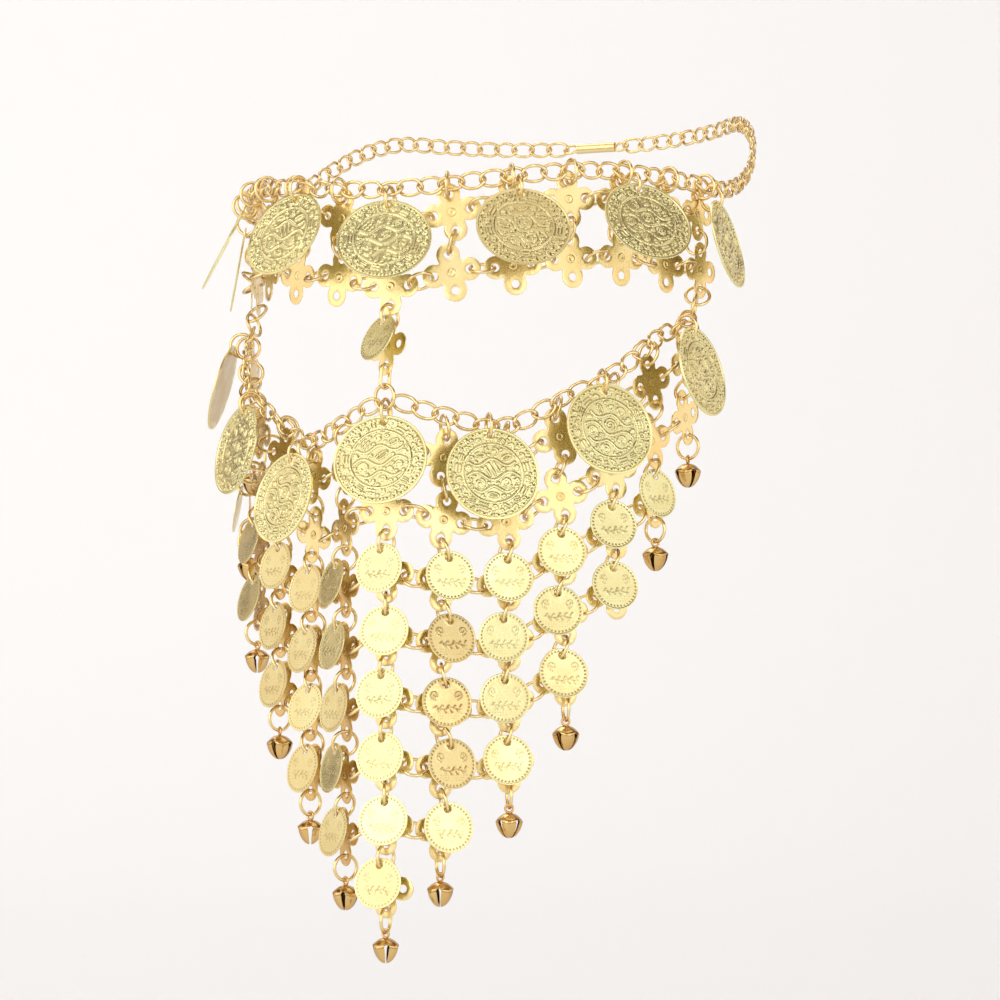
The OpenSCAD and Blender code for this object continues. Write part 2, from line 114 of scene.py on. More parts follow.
def cross_frame(points):
    """Where a cross plate lies: up is the lobe that points most nearly upwards."""
    middle, across, upward, normal = flat_axes(points)
    x, y = (points - middle) @ across, (points - middle) @ upward
    x, y = x - (x.min() + x.max()) / 2, y - (y.min() + y.max()) / 2
    r, turn = np.hypot(x, y), np.arctan2(y, x)
    spin = np.angle((r ** 8 * np.exp(4j * turn)).sum()) / 4
    best = max(range(4), key=lambda n: (math.sin(spin + n * math.pi / 2) * upward[2]
                                        + math.cos(spin + n * math.pi / 2) * across[2]))
    angle = spin + best * math.pi / 2
    up = math.cos(angle) * across + math.sin(angle) * upward
    right = np.cross(up, normal)
    for axis in (right, up, normal):
        along = (points - middle) @ axis
        middle = middle + axis * (along.min() + along.max()) / 2
    return placed_frame(middle, right, up, normal)


def coin_frame(points):
    """Where a coin lies: up goes from its middle to its hole."""
    middle, across, upward, normal = flat_axes(points)
    x, y = (points - middle) @ across, (points - middle) @ upward
    cx, cy = (x.min() + x.max()) / 2, (y.min() + y.max()) / 2
    for _ in range(3):
        r = np.hypot(x - cx, y - cy)
        rim = r > 0.97 * r.max()
        lhs = np.column_stack([2 * x[rim], 2 * y[rim], np.ones(rim.sum())])
        cx, cy, _c = np.linalg.lstsq(lhs, x[rim] ** 2 + y[rim] ** 2, rcond=None)[0]
    r = np.hypot(x - cx, y - cy)
    inner = r < 0.95 * r.max()
    hx, hy = x[inner], y[inner]
    hx, hy = (hx.min() + hx.max()) / 2 - cx, (hy.min() + hy.max()) / 2 - cy
    length = math.hypot(hx, hy)
    up = (hx * across + hy * upward) / length
    depth = (points - middle) @ normal
    centre = middle + cx * across + cy * upward + normal * (depth.min() + depth.max()) / 2
    return placed_frame(centre, np.cross(up, normal), up, normal)


def bell_frame(points):
    """Where a bell hangs: origin in the middle of its loop, its loop in the plane of right and up."""
    loop_height = 1.5 * MM
    bottom, top = points[:, 2].min(), points[:, 2].max()
    body = points[points[:, 2] < bottom + 2 * BELL_R * MM]
    cx, cy = [(body[:, i].min() + body[:, i].max()) / 2 for i in (0, 1)]
    loop = points[points[:, 2] > top - loop_height][:, :2]
    axis = np.linalg.eigh(np.cov(loop.T))[1][:, 1]
    right = np.array([axis[0], axis[1], 0.0])
    up = np.array([0.0, 0.0, 1.0])
    origin = np.array([cx, cy, top - (LOOP_R + LOOP_WIRE / 2) * MM])
    return placed_frame(origin, right, up, np.cross(right, up))


# Mesh tools

# Profiles of rounded edges: how far in from the edge and down from the face, as shares of the bevel
FINE_EDGE = [(1.0, 0.0), (0.45, 0.12), (0.12, 0.45), (0.0, 1.0)]
PLAIN_EDGE = [(1.0, 0.0), (0.3, 0.3), (0.0, 1.0)]

# The place of a shape that already has the row's own coordinates
UNMOVED = np.eye(3, 4)


class Shape:
    """Points in millimetres, triangles and one value a point: 0 in a recess, where shade is painted, 1 on a
    worn top.
    """

    def __init__(self, points, triangles, worn):
        self.points = np.asarray(points, float)
        self.triangles = np.asarray(triangles, np.int64)
        self.worn = np.asarray(worn, float)


def joined(shapes):
    """Several shapes as one."""
    start, points, triangles, worn = 0, [], [], []
    for s in shapes:
        points.append(s.points)
        triangles.append(s.triangles + start)
        worn.append(s.worn)
        start += len(s.points)
    return Shape(np.concatenate(points), np.concatenate(triangles), np.concatenate(worn))


def put(shape, place, tone):
    """The shape in its row's coordinates, in metres, with its own share of painted warm reflection."""
    points = (shape.points * MM) @ place[:, :3].T + place[:, 3]
    made = Shape(points, shape.triangles, shape.worn)
    made.tone = np.full(len(points), tone)
    return made


def mesh_object(name, points, faces):
    """A new object of those points and faces, in the scene."""
    mesh = bpy.data.meshes.new(name)
    mesh.from_pydata(points, [], faces)
    made = bpy.data.objects.new(name, mesh)
    bpy.context.scene.collection.objects.link(made)
    return made


def piece(name, shapes, material, replaced, smooth=32):
    """One joined mesh object of placed shapes, which stands for CAD nodes."""
    whole = joined(shapes)
    painted_reflections = np.concatenate([s.tone for s in shapes])
    made = mesh_object(name, whole.points.tolist(), whole.triangles.tolist())
    # The value of wear and painted shade, and the share of painted warm reflection, go to the material
    for label, values in (("worn", whole.worn), ("tone", painted_reflections)):
        attribute = made.data.attributes.new(label, "FLOAT", "POINT")
        attribute.data.foreach_set("value", values.astype(np.float32))
    made.data.shade_smooth()
    made.data.set_sharp_from_angle(angle=math.radians(smooth))
    made.data.update()
    made.data.materials.append(material)
    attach(made, "root")
    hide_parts(*replaced)


def ring_points(r, count, x=0.0, y=0.0):
    """Points round a circle, counter-clockwise."""
    turn = np.arange(count) * 2 * math.pi / count
    return np.column_stack([x + r * np.cos(turn), y + r * np.sin(turn)])


def inside(points, loop):
    """Which points lie within a closed outline."""
    x, y = points[:, 0], points[:, 1]
    hit = np.zeros(len(points), bool)
    for (ax, ay), (bx, by) in zip(loop, np.roll(loop, -1, axis=0)):
        if ay == by:
            continue
        crosses = (ay > y) != (by > y)
        hit ^= crosses & (x < (bx - ax) * (y - ay) / (by - ay) + ax)
    return hit


def shrunk(loop, by):
    """A closed outline moved inwards, or a hole's edge moved outwards for a clockwise loop."""
    ahead, back = np.roll(loop, -1, axis=0) - loop, loop - np.roll(loop, 1, axis=0)
    ahead = ahead / np.linalg.norm(ahead, axis=1)[:, None]
    back = back / np.linalg.norm(back, axis=1)[:, None]
    along = ahead + back
    along = along / np.linalg.norm(along, axis=1)[:, None]
    return loop + by * np.column_stack([-along[:, 1], along[:, 0]])


def sheet_face(outline, holes, scattered):
    """Triangles over an outline with holes, through scattered points. Returns points and triangles."""
    flat, edges = [], []
    for loop in [outline] + holes:
        first = len(flat)
        flat += [tuple(p) for p in loop]
        edges += [(first + i, first + (i + 1) % len(loop)) for i in range(len(loop))]
    flat += [tuple(p) for p in scattered]
    found = geometry.delaunay_2d_cdt([Vector(p) for p in flat], edges, [], 0, 1e-7)
    points = np.array([tuple(v) for v in found[0]])
    if len(points) != len(flat):
        raise ValueError("points of a face meet")
    triangles = np.array([tuple(f) for f in found[2]], np.int64)
    middle = points[triangles].mean(1)
    keep = inside(middle, outline)
    for hole in holes:
        keep &= ~inside(middle, hole[::-1])
    triangles = triangles[keep]
    a, b, c = points[triangles].transpose(1, 0, 2)
    turned = (b - a)[:, 0] * (c - a)[:, 1] - (b - a)[:, 1] * (c - a)[:, 0] < 0
    triangles[turned] = triangles[turned][:, ::-1]
    return points, triangles


def strip(first, second, count):
    """Triangles between two closed rings of points that start at those numbers."""
    i = np.arange(count)
    j = (i + 1) % count
    lower = np.column_stack([first + i, first + j, second + j])
    upper = np.column_stack([first + i, second + j, second + i])
    return np.concatenate([lower, upper])[:, ::-1]


def stamped(outline, holes, front_points, back_points, front, back, thickness, bevel, profile):
    """A plate with rounded edges. front and back give the depth below each face, and the value of wear and
    painted shade.
    """
    loops = [outline] + holes
    inset = [shrunk(loop, bevel) for loop in loops]
    parts, triangles, worn, faces = [], [], [], []
    start = 0
    for side, scattered, relief in ((1, front_points, front), (-1, back_points, back)):
        flat, found = sheet_face(inset[0], inset[1:], scattered)
        depth, value = relief(flat[:, 0], flat[:, 1])
        z = side * (thickness / 2 - depth)
        parts.append(np.column_stack([flat, z]))
        worn.append(value)
        triangles.append((found if side > 0 else found[:, ::-1]) + start)
        faces.append((start, z))
        start += len(flat)
    offset = 0
    for loop in loops:
        count = len(loop)
        rings = [faces[0][0] + offset]
        # Rings of points down the front edge's profile, then up the back edge's
        for side in (1, -1):
            z_face = faces[0 if side > 0 else 1][1][offset:offset + count]
            for share, down in profile[1:][::side]:
                parts.append(np.column_stack([shrunk(loop, bevel * share), z_face - side * bevel * down]))
                worn.append(np.ones(count))
                rings.append(start)
                start += count
        rings.append(faces[1][0] + offset)
        for a, b in zip(rings[:-1], rings[1:]):
            triangles.append(strip(a, b, count))
        offset += count
    return Shape(np.concatenate(parts), np.concatenate(triangles), np.concatenate(worn))


def hex_grid(r, step):
    """Points of a triangular grid within a circle."""
    row_share = 0.866
    rows = int(r / (step * row_share)) + 1
    columns = int(r / step) + 1
    found = np.array([((i + 0.5 * (j % 2)) * step, j * step * row_share)
                      for j in range(-rows, rows + 1) for i in range(-columns, columns + 1)])
    return found[np.hypot(found[:, 0], found[:, 1]) < r]


def soft_step(value, low, high):
    """A smooth rise from 0 at low to 1 at high."""
    t = np.clip((value - low) / (high - low), 0, 1)
    return t * t * (3 - 2 * t)


# Ornament

# Radii in millimetres below which an ornament is a dot, a small ring or crescent, and a short scroll
DOT_BELOW = 0.5
RING_BELOW = 0.85
SHORT_SCROLL_BELOW = 1.5


def line_distance(x, y, line):
    """Distance of each point from a polyline."""
    found = np.full(len(x), 1e9)
    for (ax, ay), (bx, by) in zip(line[:-1], line[1:]):
        dx, dy = bx - ax, by - ay
        t = np.clip(((x - ax) * dx + (y - ay) * dy) / max(dx * dx + dy * dy, 1e-12), 0, 1)
        np.minimum(found, np.hypot(x - ax - t * dx, y - ay - t * dy), out=found)
    return found


class Relief:
    """Raised strokes on a coin's face, each a polyline with a width and a height."""

    def __init__(self, half, seed):
        self.random = random.Random(seed)
        self.strokes = []
        side = np.arange(-half, half + 0.05, 0.1)
        gx, gy = np.meshgrid(side, side)
        self.gx, self.gy = gx.ravel(), gy.ravel()
        self.free = np.full(len(self.gx), 9.0)

    def stroke(self, line, width, height=1.0, room=False):
        """Adds a stroke. With room, packed ornaments keep clear of it."""
        line = [tuple(p) for p in line]
        self.strokes.append((line, width, height))
        if room:
            low, high = np.min(line, axis=0) - 3, np.max(line, axis=0) + 3
            near = ((self.gx > low[0]) & (self.gx < high[0])
                    & (self.gy > low[1]) & (self.gy < high[1]))
            away = line_distance(self.gx[near], self.gy[near], line) - width / 2
            self.free[near] = np.minimum(self.free[near], away)

    def keep_out(self, outside):
        """Nothing is packed where that is true of a place."""
        self.free[outside] = 0

    def motif(self, x, y, r, width):
        """One ornament of that radius: a scroll, a leaf, a ring, a crescent, bars or a dot."""
        turn = self.random.uniform(0, 2 * math.pi)
        hand = self.random.choice((-1, 1))
        kind = self.random.random()
        reach = r - width / 2
        self.free = np.minimum(self.free, np.hypot(self.gx - x, self.gy - y) - r)

        def at(a, d):
            """The ornament's point at that angle and distance from its middle."""
            return (x + d * math.cos(turn + hand * a), y + d * math.sin(turn + hand * a))

        def beside(u, v):
            """The ornament's point that far along and across."""
            return at(math.atan2(v, u), math.hypot(v, u))

        def dot(size):
            """A dot in the ornament's middle."""
            self.stroke([at(0, 0.02), at(0, -0.02)], size)

        if r < DOT_BELOW:
            dot(2 * r)
        elif r < RING_BELOW:
            angles = np.linspace(0, 2 * math.pi, 12) if kind < 0.45 else np.linspace(-1.9, 1.9, 8)
            self.stroke([at(a, reach) for a in angles], width)
        elif kind < 0.5:
            turns = 1.15 if r < SHORT_SCROLL_BELOW else 1.7
            whole = 2 * math.pi * turns
            scroll = [at(a, reach * (1 - 0.72 * a / whole)) for a in np.linspace(0, whole, int(16 * turns))]
            self.stroke(scroll, width)
            dot(width * 1.25)
        elif kind < 0.72:
            for side in (-1, 1):
                leaf = [beside(reach * math.cos(t), side * 0.42 * reach * math.sin(t))
                        for t in np.linspace(0.02, math.pi - 0.02, 9)]
                self.stroke(leaf, width * 0.85)
            self.stroke([at(0, reach * 0.45), at(math.pi, reach * 0.45)], width * 0.5)
        elif kind < 0.88:
            for share in (-0.55, 0, 0.55):
                half = reach * math.cos(share * 1.2)
                bar = [beside(t, share * reach * 1.35) for t in np.linspace(-half, half, 4)]
                self.stroke(bar, width * 0.8)
        else:
            self.stroke([at(a, reach) for a in np.linspace(0, 2 * math.pi, 18)], width)
            dot(width * 1.5)

    def pack(self, sizes, width, gap):
        """Fills the free room with ornaments, the largest first. Each radius has its number of tries."""
        for r, tries in sizes:
            for _ in range(tries):
                room = np.flatnonzero(self.free > r + gap)
                if len(room) == 0:
                    break
                n = room[self.random.randrange(len(room))]
                self.motif(float(self.gx[n]), float(self.gy[n]), r, width)

    def height(self, x, y, soft):
        """How high the strokes stand at each place. Their edges slope over twice the soft distance."""
        found = np.zeros(len(x))
        for line, width, high in self.strokes:
            low = np.min(line, axis=0) - width
            top = np.max(line, axis=0) + width
            near = np.flatnonzero((x > low[0]) & (x < top[0]) & (y > low[1]) & (y < top[1]))
            if len(near) == 0:
                continue
            away = line_distance(x[near], y[near], line)
            raised = high * soft_step(width / 2 + soft - away, 0, 2 * soft)
            found[near] = np.maximum(found[near], raised)
        return found


def hole_distance(x, y, coin_r):
    """Distance from the middle of a coin's hole."""
    return np.hypot(x, y - coin_r + HOLE_EDGE)


def lip(x, y, coin_r, width):
    """Height of a raised lip round a coin's hole."""
    return soft_step(HOLE_R + width - hole_distance(x, y, coin_r), 0, 0.3)


def arc(r, low, high, count):
    """Points along an arc about the middle."""
    return [(r * math.cos(a), r * math.sin(a)) for a in np.linspace(low, high, count)]


def bead_distance(x, y, r, count, radial, along):
    """Distance from the nearest bead of a ring, as a share of the bead's size."""
    away = np.hypot(x, y)
    turn = (np.arctan2(y, x) / (2 * math.pi) * count) % 1.0
    side = np.abs(turn - 0.5) * 2 * math.pi * r / count
    return np.sqrt(((away - r) / radial) ** 2 + (side / along) ** 2)


def bead_ring(x, y, r, count, radial, along):
    """Height of a ring of beads."""
    return soft_step(1.25 - bead_distance(x, y, r, count, radial, along), 0, 0.5)


def wear_and_painted_shade(high, field, foot_shade):
    """How bright the metal is: worn tops, a field a little duller, and painted shade at the foot of each
    stroke.
    """
    foot = np.exp(-((high - 0.3) / 0.22) ** 2)
    return np.clip(field + (1 - field) * high - foot_shade * foot, 0, 1)


def hollow_waves(x, y, seed, amount):
    """A slight unevenness of a thin sheet."""
    pick = random.Random(seed)
    found = np.zeros(len(x))
    for _ in range(4):
        a, k, phase = pick.uniform(0, math.pi), pick.uniform(0.12, 0.42), pick.uniform(0, 6.28)
        found += np.sin(k * (x * math.cos(a) + y * math.sin(a)) + phase)
    return amount * (0.5 + found / 8)


# Coins

# Rings of beads: radius, number, and half a bead's size across and along the ring
LARGE_BEADS = (12.66, 72, 0.42, 0.4)
LARGE_BACK_BEADS = (12.4, 60, 0.55, 0.5)
SMALL_BEADS = (6.62, 38, 0.27, 0.27)

# Where a coin's rim rises, as radii
LARGE_RIM = (13.25, 13.45)
LARGE_BACK_RIM = (13.2, 13.5)
SMALL_RIM = (7.05, 7.2)

# How far out packed ornaments reach, and how far they stay from the hole's edge
LARGE_FIELD_R = 11.75
HOLE_MARGIN = 0.5

# Radii and numbers of the ornaments that are tried on a large coin
LARGE_ORNAMENTS = ((2.3, 3), (1.8, 5), (1.4, 9), (1.05, 18), (0.75, 26), (0.5, 30))


def coin_plate(r, thickness, front, back, bevel, profile, edge_count, hole_count, border, border_count,
               field, field_gap, back_step, back_margin, back_gap):
    """A coin's plate. Its points are rings in the border, a fine grid in the field, given by radius and
    step, and a coarse grid on the back. The gaps are kept round the hole."""

    def clear(points, gap):
        """The points that keep that distance from the hole's bevel."""
        return points[hole_distance(points[:, 0], points[:, 1], r) > HOLE_R + (bevel + gap)]

    edge = ring_points(r, edge_count)
    hole = ring_points(HOLE_R, hole_count, 0, r - HOLE_EDGE)[::-1]
    rings = [ring_points(ring_r, border_count) for ring_r in border]
    fine = clear(np.concatenate(rings + [hex_grid(*field)]), field_gap)
    coarse = clear(hex_grid(r - bevel - back_margin, back_step), back_gap)
    return stamped(edge, [hole], fine, coarse, front, back, thickness, bevel, profile)


def scroll_band(relief, inner):
    """Arcs, waves and ornaments in turn, between the inner circle and the beads."""
    slots = relief.random.choice((14, 16, 18))
    shift = relief.random.uniform(0, 6.28)
    mid = (inner + 11.9) / 2
    span = 0.62 * math.pi / slots
    for n in range(slots):
        a = shift + n * 2 * math.pi / slots
        if abs(math.remainder(a - math.pi / 2, 2 * math.pi)) < 0.22:
            continue
        if n % 4 == 0:
            for r in (mid - 0.5, mid + 0.5):
                relief.stroke(arc(r, a - span, a + span, 6), 0.58, room=True)
        elif n % 4 == 2:
            wave = []
            for t in np.linspace(-1, 1, 10):
                r, turn = mid + 0.7 * math.sin(t * math.pi), a + t * span * 1.25
                wave.append((r * math.cos(turn), r * math.sin(turn)))
            relief.stroke(wave, 0.6, room=True)
        else:
            relief.motif(mid * math.cos(a), mid * math.sin(a), 1.12, 0.52)


def leaning_waves(relief, inner):
    """Three waves across the inner circle."""
    lean = relief.random.uniform(-0.5, 0.5)
    for level, bend in ((3.4, 1.5), (-0.8, -1.8), (-4.8, 1.2)):
        half = math.sqrt(max(inner ** 2 - (abs(level) + 0.9) ** 2, 1)) - 1.1
        wave = []
        for t in np.linspace(-1, 1, 30):
            x, y = t * half, level + bend * math.cos(t * math.pi * 1.5) * 0.7
            wave.append((x * math.cos(lean) - y * math.sin(lean), x * math.sin(lean) + y * math.cos(lean)))
        relief.stroke(wave, 0.72, room=True)


def large_coin(seed, depth):
    """A large coin's shape: beaded border, a band of scrolls, an inner circle and a dense middle."""
    relief = Relief(LARGE_R, seed)
    inner = relief.random.uniform(8.7, 9.3)
    relief.stroke(arc(inner, 0, 2 * math.pi, 90), 0.6, room=True)
    relief.keep_out(np.hypot(relief.gx, relief.gy) > LARGE_FIELD_R)
    relief.keep_out(hole_distance(relief.gx, relief.gy, LARGE_R) < HOLE_R + HOLE_MARGIN)
    scroll_band(relief, inner)
    leaning_waves(relief, inner)
    relief.pack(LARGE_ORNAMENTS, 0.6, 0.2)

    def front(x, y):
        high = np.maximum(relief.height(x, y, 0.16), bead_ring(x, y, *LARGE_BEADS))
        high = np.maximum(high, soft_step(np.hypot(x, y), *LARGE_RIM))
        high = np.maximum(high, 0.75 * lip(x, y, LARGE_R, 0.75))
        # Painted shade at the foot of each stroke
        return depth * (1 - high) + hollow_waves(x, y, seed, 0.08), wear_and_painted_shade(high, 0.92, 1.2)

    def back(x, y):
        high = np.maximum(soft_step(np.hypot(x, y), *LARGE_BACK_RIM), bead_ring(x, y, *LARGE_BACK_BEADS))
        # The back's sunk field is painted darker than its rim and beads, as shade
        return 0.1 * (1 - high) + 0.02, 0.35 + 0.65 * high

    return coin_plate(LARGE_R, LARGE_T, front, back, bevel=0.13, profile=FINE_EDGE, edge_count=144,
                      hole_count=28, border=(12.1, 12.32, 12.54, 12.78, 13.0, 13.22, 13.46, 13.66),
                      border_count=252, field=(11.95, 0.24), field_gap=0.12, back_step=0.8,
                      back_margin=0.4, back_gap=0.35)


def spray(relief):
    """A wavy stem with leaves to either side in turn, across the lower half of a small coin."""
    pick = relief.random
    base = pick.uniform(-2.2, -1.7)
    stem = [(x, base + 0.3 * math.sin(1.3 * x + pick.uniform(-0.2, 0.2))) for x in np.linspace(-4.2, 4.2, 18)]
    relief.stroke(stem, 0.26, 0.55)
    for n in range(9):
        x = -3.8 + 0.95 * n
        side = -1 if n % 2 else 1
        length = pick.uniform(0.7, 1.25)
        leaf = [(x + t * 0.75, base + side * (0.25 + length * math.sin(t * 2.2) * 0.8))
                for t in np.linspace(0, 1, 6)]
        relief.stroke(leaf, 0.32, pick.uniform(0.3, 0.95))


def small_coin(seed, depth, foot_shade):
    """A small coin's shape: a border of dots, two scrolls above a spray, rows of fine dots and a slightly
    wavy field."""
    relief = Relief(SMALL_R, seed)
    for side in (-1, 1):
        scroll = []
        for a in np.linspace(-1.6, 6.6, 22):
            arm = 1.15 - 0.13 * a
            scroll.append((side * 3.5 + side * arm * math.cos(a), 2.0 + arm * math.sin(a)))
        relief.stroke(scroll, 0.3, 0.8)
    spray(relief)
    for y in (-3.4, -4.15, -4.9):
        half = math.sqrt(5.7 ** 2 - y ** 2)
        for x in np.arange(-half, half, 0.8):
            relief.stroke([(x, y), (x + 0.02, y)], 0.3, relief.random.uniform(0.05, 0.3))

    def front(x, y):
        marks = relief.height(x, y, 0.15)
        high = np.maximum(marks, bead_ring(x, y, *SMALL_BEADS))
        high = np.maximum(high, 0.9 * soft_step(np.hypot(x, y), *SMALL_RIM))
        high = np.maximum(high, 0.6 * lip(x, y, SMALL_R, 0.6))
        # The border's beads are darker, and painted shade lies at the foot of each stroke
        spots = np.exp(-(bead_distance(x, y, *SMALL_BEADS) / 0.95) ** 2)
        bright = 0.97 - 0.75 * spots - foot_shade * np.exp(-((marks - 0.35) / 0.27) ** 2)
        return depth * (1 - high) + hollow_waves(x, y, seed, 0.12), np.clip(bright, 0, 1)

    def back(x, y):
        return np.full(len(x), 0.05), np.full(len(x), 0.75)

    return coin_plate(SMALL_R, SMALL_T, front, back, bevel=0.1, profile=PLAIN_EDGE, edge_count=88,
                      hole_count=24, border=(6.3, 6.46, 6.62, 6.78, 7.0, 7.2), border_count=190,
                      field=(6.12, 0.285), field_gap=0.13, back_step=1.1, back_margin=0.5, back_gap=0.5)


# Cross plates

CROSS_BEVEL = 0.14
PUNCH_R = 0.85
MOAT_R = 1.3

# Radii and numbers of points of the rings round the punched middle
PUNCH_RINGS = ((0.25, 6), (0.5, 12), (0.68, 18), (PUNCH_R, 18), (1.02, 18), (1.16, 18), (MOAT_R, 18),
               (1.5, 18), (2.1, 14))


def cross_outline():
    """Outline of a cross plate, counter-clockwise, with round lobes and sharp inner corners."""
    half = math.asin(CROSS_ARM / CROSS_LOBE_R)
    line = []
    for n in range(4):
        turn = n * math.pi / 2
        quarter = [(CROSS_LOBE_AT + CROSS_LOBE_R * math.cos(a), CROSS_LOBE_R * math.sin(a))
                   for a in np.linspace(-math.pi + half, math.pi - half, 19)]
        quarter.append((CROSS_ARM, CROSS_ARM))
        line += [(x * math.cos(turn) - y * math.sin(turn), x * math.sin(turn) + y * math.cos(turn))
                 for x, y in quarter]
    return np.array(line)


def cross_plate(seed):
    """A cross plate's shape: flat with a punched ring in the middle."""
    hole_places = [(CROSS_HOLE_AT * math.cos(n * math.pi / 2), CROSS_HOLE_AT * math.sin(n * math.pi / 2))
                   for n in range(4)]

    def front(x, y):
        away = np.hypot(x, y)
        high = soft_step(0.36 - np.abs(away - PUNCH_R), 0, 0.28)
        moat = soft_step(0.22 - np.abs(away - MOAT_R), 0, 0.22)
        dent = soft_step(0.42 - away, 0, 0.3)
        depth = 0.1 - 0.1 * high + 0.03 * moat + 0.04 * dent
        # Painted shade in the moat and the middle dent; the raised ring is a little brighter, and the metal
        # round each hole darker
        worn = np.clip(0.9 + 0.1 * high - 0.5 * moat - 0.45 * dent, 0, 1)
        for hx, hy in hole_places:
            worn = worn - 0.25 * soft_step(HOLE_R + 0.5 - np.hypot(x - hx, y - hy), 0, 0.35)
        return depth + hollow_waves(x, y, seed, 0.06) - 0.03, worn

    def back(x, y):
        return np.full(len(x), 0.06), np.full(len(x), 0.7)

    edge = cross_outline()
    holes = [ring_points(HOLE_R, 18, hx, hy)[::-1] for hx, hy in hole_places]
    grid = hex_grid(9, 1.1)
    grid = grid[np.hypot(grid[:, 0], grid[:, 1]) > 2.9]
    for p in np.concatenate([edge] + holes):
        grid = grid[np.hypot(grid[:, 0] - p[0], grid[:, 1] - p[1]) > 0.55]
    grid = grid[inside(grid, edge)]
    for hole in holes:
        grid = grid[~inside(grid, hole[::-1])]
    rings = [ring_points(r, count) for r, count in PUNCH_RINGS]
    front_points = np.concatenate([np.zeros((1, 2)), *rings, grid])
    return stamped(edge, holes, front_points, grid[::3], front, back, SHEET, CROSS_BEVEL, PLAIN_EDGE)


# Wire

def tube(line, wire_r, sides):
    """The shape of a wire along a closed line."""
    count = len(line)
    along = np.roll(line, -1, axis=0) - np.roll(line, 1, axis=0)
    along /= np.linalg.norm(along, axis=1)[:, None]
    outwards = line - line.mean(0)
    outwards -= (outwards * along).sum(1)[:, None] * along
    outwards /= np.linalg.norm(outwards, axis=1)[:, None]
    across = np.cross(along, outwards)
    turn = np.arange(sides) * 2 * math.pi / sides
    points = (line[:, None, :] + wire_r * (np.cos(turn)[None, :, None] * outwards[:, None, :]
                                           + np.sin(turn)[None, :, None] * across[:, None, :]))
    triangles = []
    for i in range(count):
        for j in range(sides):
            a, b = i * sides + j, i * sides + (j + 1) % sides
            c, d = (a + sides) % (count * sides), (b + sides) % (count * sides)
            triangles += [(a, c, d), (a, d, b)]
    return Shape(points.reshape(-1, 3), triangles, np.ones(count * sides))


# Bell

# Profiles of the body and its hollow: distance from the axis, and height above the body's middle
BELL_OUTER = [(0, 3.62), (0.8, 3.58), (1.6, 3.38), (2.3, 3.02), (2.95, 2.52), (3.5, 1.95), (3.9, 1.4),
              (4.06, 1.0), (4.06, 0.78), (3.92, 0.64), (3.94, 0.42), (3.84, 0.0), (3.62, -0.6),
              (3.3, -1.3), (2.88, -2.0), (2.34, -2.7), (1.72, -3.25), (1.05, -3.62), (0.45, -3.76),
              (0, -3.79)]
BELL_INNER = [(0, 3.15), (1.3, 2.85), (2.3, 2.1), (3.0, 1.2), (3.1, 0.6), (3.0, -0.1), (2.7, -0.9),
              (2.2, -1.8), (1.5, -2.6), (0.7, -3.1), (0, -3.25)]
PETAL_PINCH = 0.08
SHOULDER_LIFT = 0.55
SEAM_Z = 0.64

# Half width and height of a slot at the bell's foot and shoulder, and the round eye at its top
SLOT_FOOT = (0.15, -4.5)
SLOT_TOP = (0.72, 0.83)
SLOT_REACH = 5.0
EYE_R = 0.85
EYE_Z = 0.95
EYE_REACH = 6.0

# How far the loop goes into the top of the body
LOOP_SUNK = 0.1


def petalled(name, profile, count):
    """A closed body about the z axis. Below its shoulder it is pinched to four petals, and the shoulder
    is lifted between them."""
    points, triangles = [(0.0, 0.0, profile[0][1])], []
    for r, z in profile[1:-1]:
        share = PETAL_PINCH * float(soft_step(np.array(2.4 - z), 0, 2.6))
        lift = SHOULDER_LIFT * math.exp(-((z - 0.8) / 0.9) ** 2)
        for a in np.arange(count) * 2 * math.pi / count:
            corner = math.cos(2 * a) ** 2
            along = r * (1 - share * corner)
            points.append((along * math.cos(a), along * math.sin(a), z + lift * corner))
    points.append((0.0, 0.0, profile[-1][1]))
    last = len(points) - 1
    rings = len(profile) - 2
    end = 1 + (rings - 1) * count
    for i in range(count):
        j = (i + 1) % count
        triangles.append((0, 1 + i, 1 + j))
        triangles.append((last, end + j, end + i))
    for n in range(rings - 1):
        a = 1 + n * count
        triangles += strip(a, a + count, count).tolist()
    return mesh_object(name, points, triangles)


def slot_cutter(name, along_x):
    """A wedge that narrows from the shoulder to the foot of the bell."""
    corners = []
    for x in (-SLOT_REACH, SLOT_REACH):
        for half, z in (SLOT_FOOT, SLOT_TOP):
            for y in (-half, half):
                corners.append((x, y, z) if along_x else (-y, x, z))
    faces = [(0, 2, 3, 1), (4, 5, 7, 6), (0, 1, 5, 4), (2, 6, 7, 3), (0, 4, 6, 2), (1, 3, 7, 5)]
    return mesh_object(name, corners, faces)


def eye_cutter(name, along_x):
    """A rod that bores the round eyes at the top of two slots."""
    count = 20
    points = []
    for end in (-EYE_REACH, EYE_REACH):
        for a in np.arange(count) * 2 * math.pi / count:
            u, v = EYE_R * math.cos(a), EYE_Z + EYE_R * math.sin(a)
            points.append((end, u, v) if along_x else (-u, end, v))
    faces = [(i, (i + 1) % count, count + (i + 1) % count, count + i) for i in range(count)]
    faces += [tuple(range(count))[::-1], tuple(range(count, 2 * count))]
    return mesh_object(name, points, faces)


